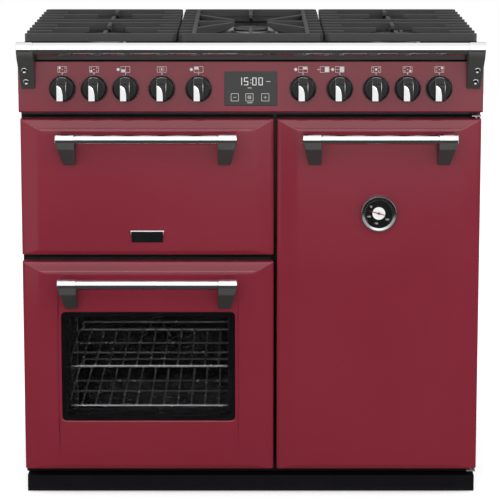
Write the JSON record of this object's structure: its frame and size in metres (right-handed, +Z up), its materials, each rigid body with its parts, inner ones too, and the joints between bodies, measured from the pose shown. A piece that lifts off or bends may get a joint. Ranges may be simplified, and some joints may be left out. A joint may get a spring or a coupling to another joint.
{
  "type": "range cooker",
  "caption": "Free-standing range cooker with three ovens, two drop-down doors, one side-hinged door, a gas hob with lift-off pan supports and a front hand rail.",
  "frame": {"origin": "on the floor, in the middle of the plan of the whole cooker", "axes": "+X to the right as seen from the front, +Y to the rear, +Z up"},
  "size_m": [0.9, 0.6478, 0.922],
  "materials": {
    "casing_black": "satin black paint",
    "zinc_steel": "plain zinc-coated steel",
    "plinth_black": "satin black paint",
    "foot_plastic": "moulded",
    "hob_enamel": "gloss black enamel",
    "burner_alloy": "cast and machined",
    "cap_enamel": "matt black enamel",
    "bright_chrome": "polished",
    "bracket_grey": "satin dark grey paint on a casting",
    "red_enamel": "gloss burgundy enamel",
    "knob_black": "gloss black",
    "display_glass": "dark printed glass",
    "tap_brass": "turned",
    "switch_plastic": "moulded",
    "oven_enamel": "grey-black vitreous enamel",
    "element_steel": "sheathed element",
    "wire_chrome": "chromed wire",
    "seal_rubber": "silicone",
    "iron_grey": "matt enamel on cast iron",
    "liner_enamel": "black vitreous enamel",
    "door_glass": "dark tinted glass",
    "gauge_black": "black dial in a chromed rim",
    "needle_red": "red paint"
  },
  "bodies": {
    "root": {"casing_sheets": "casing_black", "rear_panel": "zinc_steel", "front_frame": "casing_black", "plinth": "plinth_black", "levelling_feet": "foot_plastic", "hob_top": "hob_enamel", "burner_crowns": "burner_alloy", "burner_caps": "cap_enamel", "hand_rail": "bright_chrome", "rail_brackets": "bracket_grey", "control_fascia": "red_enamel", "knob_bezels": "knob_black", "clock_display": "display_glass", "gas_rail": "tap_brass", "oven_switches": "switch_plastic", "grill_liner": "oven_enamel", "main_oven_liner": "oven_enamel", "tall_oven_liner": "oven_enamel", "grill_element": "element_steel", "fan_covers": "oven_enamel", "fan_motors": "zinc_steel", "shelf_supports": "wire_chrome", "door_seals": "seal_rubber", "door_hinges": "zinc_steel"},
    "grill_door": {"grill_door_panel": "red_enamel", "grill_door_liner": "liner_enamel", "grill_door_handle": "bright_chrome"},
    "main_door": {"main_door_panel": "red_enamel", "main_door_liner": "liner_enamel", "main_door_glass": "door_glass", "main_door_handle": "bright_chrome"},
    "tall_door": {"tall_door_panel": "red_enamel", "tall_door_liner": "liner_enamel", "tall_door_handle": "bright_chrome", "gauge_body": "gauge_black"},
    "needle": {"gauge_needle": "needle_red"},
    "pan_support_left": {"pan_support_left": "iron_grey"},
    "pan_support_centre": {"pan_support_centre": "iron_grey"},
    "pan_support_right": {"pan_support_right": "iron_grey"},
    "main_shelf_lower": {"main_shelf_lower": "wire_chrome"},
    "main_shelf_upper": {"main_shelf_upper": "wire_chrome"},
    "tall_oven_shelf": {"tall_oven_shelf": "wire_chrome"},
    "grill_pan": {"grill_pan": "oven_enamel"},
    "main_oven_fan": {"main_oven_fan": "zinc_steel"},
    "tall_oven_fan": {"tall_oven_fan": "zinc_steel"},
    "knob_01": {"knob_01": "knob_black"},
    "knob_02": {"knob_02": "knob_black"},
    "knob_03": {"knob_03": "knob_black"},
    "knob_04": {"knob_04": "knob_black"},
    "knob_05": {"knob_05": "knob_black"},
    "knob_06": {"knob_06": "knob_black"},
    "knob_07": {"knob_07": "knob_black"},
    "knob_08": {"knob_08": "knob_black"},
    "knob_09": {"knob_09": "knob_black"},
    "knob_10": {"knob_10": "knob_black"},
    "spindle_01": {"tap_spindle_01": "tap_brass"},
    "spindle_02": {"tap_spindle_02": "tap_brass"},
    "spindle_08": {"tap_spindle_08": "tap_brass"},
    "spindle_09": {"tap_spindle_09": "tap_brass"},
    "spindle_10": {"tap_spindle_10": "tap_brass"}
  },
  "joints": [
    {"name": "grill_door_hinge", "type": "hinge", "parent": "root", "child": "grill_door", "pos_m": [-0.202, -0.258, 0.498], "axis": [1, 0, 0], "range_deg": [0, 90]},
    {"name": "main_door_hinge", "type": "hinge", "parent": "root", "child": "main_door", "pos_m": [-0.202, -0.258, 0.063], "axis": [1, 0, 0], "range_deg": [0, 90]},
    {"name": "tall_door_hinge", "type": "hinge", "parent": "root", "child": "tall_door", "pos_m": [0.439, -0.258, 0.4], "axis": [0, 0, 1], "range_deg": [0, 110]},
    {"name": "thermometer_needle", "type": "hinge", "parent": "tall_door", "child": "needle", "pos_m": [0.25, -0.276, 0.5735], "axis": [0, 1, 0], "range_deg": [0, 240]},
    {"name": "pan_support_left_lift", "type": "slide", "parent": "root", "child": "pan_support_left", "axis": [0, 0, 1], "range_m": [0, 0.06]},
    {"name": "pan_support_centre_lift", "type": "slide", "parent": "root", "child": "pan_support_centre", "axis": [0, 0, 1], "range_m": [0, 0.06]},
    {"name": "pan_support_right_lift", "type": "slide", "parent": "root", "child": "pan_support_right", "axis": [0, 0, 1], "range_m": [0, 0.06]},
    {"name": "main_shelf_lower_slide", "type": "slide", "parent": "root", "child": "main_shelf_lower", "axis": [0, -1, 0], "range_m": [0, 0.012]},
    {"name": "main_shelf_upper_slide", "type": "slide", "parent": "root", "child": "main_shelf_upper", "axis": [0, -1, 0], "range_m": [0, 0.012]},
    {"name": "tall_oven_shelf_slide", "type": "slide", "parent": "root", "child": "tall_oven_shelf", "axis": [0, -1, 0], "range_m": [0, 0.012]},
    {"name": "grill_pan_slide", "type": "slide", "parent": "root", "child": "grill_pan", "axis": [0, -1, 0], "range_m": [0, 0.012]},
    {"name": "main_oven_fan_spin", "type": "hinge", "parent": "root", "child": "main_oven_fan", "pos_m": [-0.202, 0.16, 0.2732], "axis": [0, 1, 0], "continuous": true},
    {"name": "tall_oven_fan_spin", "type": "hinge", "parent": "root", "child": "tall_oven_fan", "pos_m": [0.25, 0.16, 0.4145], "axis": [0, 1, 0], "continuous": true},
    {"name": "spindle_01_push", "type": "slide", "parent": "root", "child": "spindle_01", "axis": [0, 1, 0], "range_m": [0, 0.003], "stiffness_N_per_m": 900},
    {"name": "knob_01_turn", "type": "hinge", "parent": "spindle_01", "child": "knob_01", "pos_m": [-0.36405, -0.282, 0.8195], "axis": [0, 1, 0], "range_deg": [-210, 0]},
    {"name": "spindle_02_push", "type": "slide", "parent": "root", "child": "spindle_02", "axis": [0, 1, 0], "range_m": [0, 0.003], "stiffness_N_per_m": 900},
    {"name": "knob_02_turn", "type": "hinge", "parent": "spindle_02", "child": "knob_02", "pos_m": [-0.30285, -0.282, 0.8195], "axis": [0, 1, 0], "range_deg": [-210, 0]},
    {"name": "knob_03_turn", "type": "hinge", "parent": "root", "child": "knob_03", "pos_m": [-0.2421, -0.282, 0.8195], "axis": [0, 1, 0], "range_deg": [0, 270]},
    {"name": "knob_04_turn", "type": "hinge", "parent": "root", "child": "knob_04", "pos_m": [-0.1719, -0.282, 0.8195], "axis": [0, 1, 0], "range_deg": [0, 270]},
    {"name": "knob_05_turn", "type": "hinge", "parent": "root", "child": "knob_05", "pos_m": [-0.1008, -0.282, 0.8195], "axis": [0, 1, 0], "range_deg": [0, 270]},
    {"name": "knob_06_turn", "type": "hinge", "parent": "root", "child": "knob_06", "pos_m": [0.1008, -0.282, 0.8195], "axis": [0, 1, 0], "range_deg": [0, 270]},
    {"name": "knob_07_turn", "type": "hinge", "parent": "root", "child": "knob_07", "pos_m": [0.1719, -0.282, 0.8195], "axis": [0, 1, 0], "range_deg": [0, 270]},
    {"name": "spindle_08_push", "type": "slide", "parent": "root", "child": "spindle_08", "axis": [0, 1, 0], "range_m": [0, 0.003], "stiffness_N_per_m": 900},
    {"name": "knob_08_turn", "type": "hinge", "parent": "spindle_08", "child": "knob_08", "pos_m": [0.2421, -0.282, 0.8195], "axis": [0, 1, 0], "range_deg": [-210, 0]},
    {"name": "spindle_09_push", "type": "slide", "parent": "root", "child": "spindle_09", "axis": [0, 1, 0], "range_m": [0, 0.003], "stiffness_N_per_m": 900},
    {"name": "knob_09_turn", "type": "hinge", "parent": "spindle_09", "child": "knob_09", "pos_m": [0.30285, -0.282, 0.8195], "axis": [0, 1, 0], "range_deg": [-210, 0]},
    {"name": "spindle_10_push", "type": "slide", "parent": "root", "child": "spindle_10", "axis": [0, 1, 0], "range_m": [0, 0.003], "stiffness_N_per_m": 900},
    {"name": "knob_10_turn", "type": "hinge", "parent": "spindle_10", "child": "knob_10", "pos_m": [0.36405, -0.282, 0.8195], "axis": [0, 1, 0], "range_deg": [-210, 0]}
  ]
}
